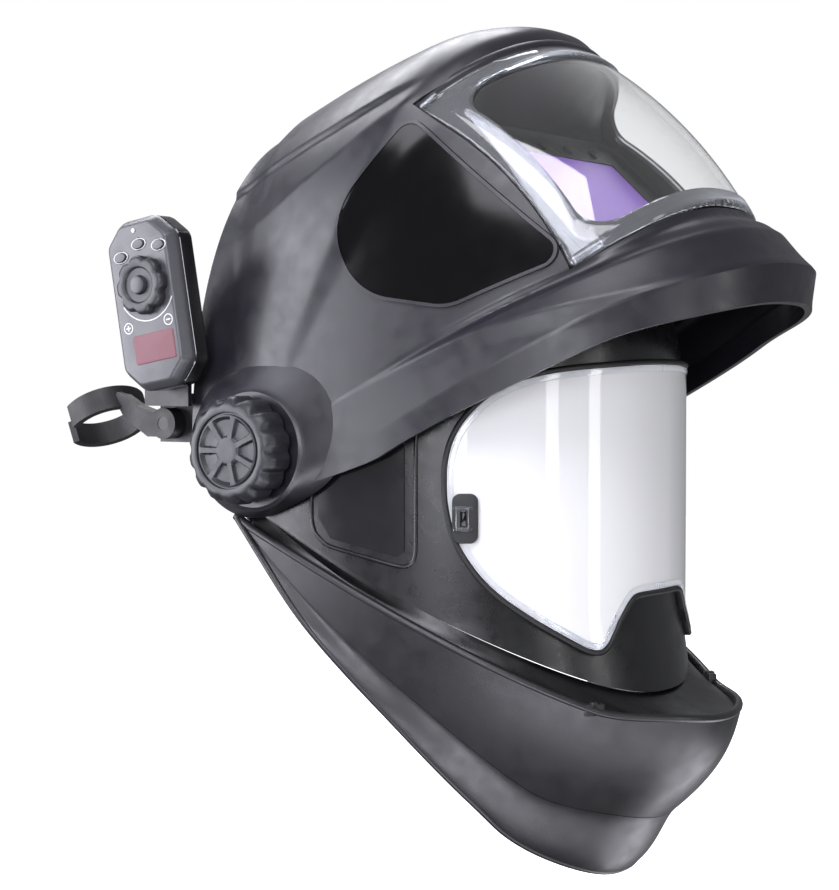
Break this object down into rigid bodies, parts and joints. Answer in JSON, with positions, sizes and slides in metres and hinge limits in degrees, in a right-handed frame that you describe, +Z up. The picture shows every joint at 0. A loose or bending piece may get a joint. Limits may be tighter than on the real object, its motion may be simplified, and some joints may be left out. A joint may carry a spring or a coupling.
{
  "type": "powered air respirator helmet",
  "caption": "Powered air respirator helmet with a flip-up welding visor, clear face shield, chin air duct, head harness, side remote control and hose clip.",
  "frame": {"origin": "middle of the pivot axis, level with the wearer's temples", "axes": "+X towards the wearer's left, -Y forward, +Z up; the visor is stored raised"},
  "size_m": [0.2589, 0.319, 0.3778],
  "materials": {
    "satin_shell": "satin, fine grain",
    "dark_shell": "satin, fine grain",
    "duct_grey": "satin, fine grain",
    "black_plastic": "matt",
    "gloss_black": "polished",
    "panel_grey": "semi-gloss",
    "strap_plastic": "matt",
    "foam": "cloth-faced foam",
    "seal_foam": "cloth-faced foam",
    "steel": "brushed",
    "nylon": "natural",
    "clear_sheet": "polished",
    "clear_lugs": "polished",
    "purple_filter": "mirror-coated",
    "knob_plastic": "satin",
    "controller_grey": "satin",
    "display_window": "polished",
    "lamp_white": "polished",
    "button_grey": "satin",
    "rubber_black": "matt"
  },
  "bodies": {
    "headgear": {"headband": "strap_plastic", "sweatband": "foam", "crown_strap": "strap_plastic", "rear_strap": "strap_plastic", "nape_pad": "foam", "ratchet_housing": "strap_plastic", "pivot_arms": "strap_plastic", "pivot_studs": "steel", "friction_washers": "steel", "air_coupling": "black_plastic", "crown_duct": "black_plastic", "air_diffuser": "black_plastic"},
    "face_shield": {"face_shell": "dark_shell", "grinding_visor": "clear_sheet", "visor_seal": "clear_lugs", "visor_latches": "black_plastic", "side_panels": "panel_grey", "pivot_hubs": "dark_shell", "chin_duct": "duct_grey", "chin_tray": "duct_grey", "chin_bib": "duct_grey", "chin_latches": "black_plastic", "face_seal": "seal_foam", "controller_bracket": "black_plastic", "clip_pin": "steel", "controller_back": "gloss_black", "controller_front": "controller_grey", "controller_display": "display_window", "controller_lamp": "lamp_white", "battery_door": "black_plastic"},
    "visor": {"visor_shell": "satin_shell", "visor_bosses": "satin_shell", "side_windows": "gloss_black", "cover_lens": "clear_sheet", "lens_clips": "clear_lugs", "filter_housing": "black_plastic", "filter_frame": "black_plastic", "filter_glass": "purple_filter", "inner_cover_lens": "clear_sheet", "light_sensors": "gloss_black"},
    "knob_right": {"pivot_knob_right": "knob_plastic"},
    "knob_left": {"pivot_knob_left": "knob_plastic"},
    "ratchet": {"ratchet_knob": "rubber_black", "ratchet_pinion": "nylon"},
    "dial": {"control_dial": "rubber_black"},
    "dial_button": {"dial_button": "button_grey"},
    "left_button": {"left_button": "button_grey"},
    "middle_button": {"middle_button": "button_grey"},
    "right_button": {"right_button": "button_grey"},
    "hose_clip": {"hose_clip": "black_plastic"}
  },
  "joints": [
    {"name": "face_raise", "type": "hinge", "parent": "headgear", "child": "face_shield", "pos_m": [0, 0, 0], "axis": [-1, 0, 0], "range_deg": [0, 40]},
    {"name": "visor_close", "type": "hinge", "parent": "face_shield", "child": "visor", "pos_m": [0, 0, 0], "axis": [1, 0, 0], "range_deg": [-4, 50]},
    {"name": "knob_right_turn", "type": "hinge", "parent": "headgear", "child": "knob_right", "pos_m": [-0.115, 0, 0], "axis": [-1, 0, 0], "range_deg": [-180, 180]},
    {"name": "knob_left_turn", "type": "hinge", "parent": "headgear", "child": "knob_left", "pos_m": [0.115, 0, 0], "axis": [1, 0, 0], "range_deg": [-180, 180]},
    {"name": "ratchet_turn", "type": "hinge", "parent": "headgear", "child": "ratchet", "pos_m": [0, 0.1, 0.042], "axis": [0, 1, 0], "continuous": true},
    {"name": "dial_turn", "type": "hinge", "parent": "face_shield", "child": "dial", "pos_m": [-0.128, 0.04583, 0.07173], "axis": [-1, 0, 0], "range_deg": [-150, 150]},
    {"name": "dial_press", "type": "slide", "parent": "dial", "child": "dial_button", "axis": [1, 0, 0], "range_m": [0, 0.0008], "stiffness_N_per_m": 600},
    {"name": "left_press", "type": "slide", "parent": "face_shield", "child": "left_button", "axis": [1, 0, 0], "range_m": [0, 0.0007], "stiffness_N_per_m": 600},
    {"name": "middle_press", "type": "slide", "parent": "face_shield", "child": "middle_button", "axis": [1, 0, 0], "range_m": [0, 0.0007], "stiffness_N_per_m": 600},
    {"name": "right_press", "type": "slide", "parent": "face_shield", "child": "right_button", "axis": [1, 0, 0], "range_m": [0, 0.0007], "stiffness_N_per_m": 600},
    {"name": "clip_swing", "type": "hinge", "parent": "face_shield", "child": "hose_clip", "pos_m": [-0.1, 0.054, 0.0105], "axis": [1, 0, 0], "range_deg": [-20, 8]}
  ]
}
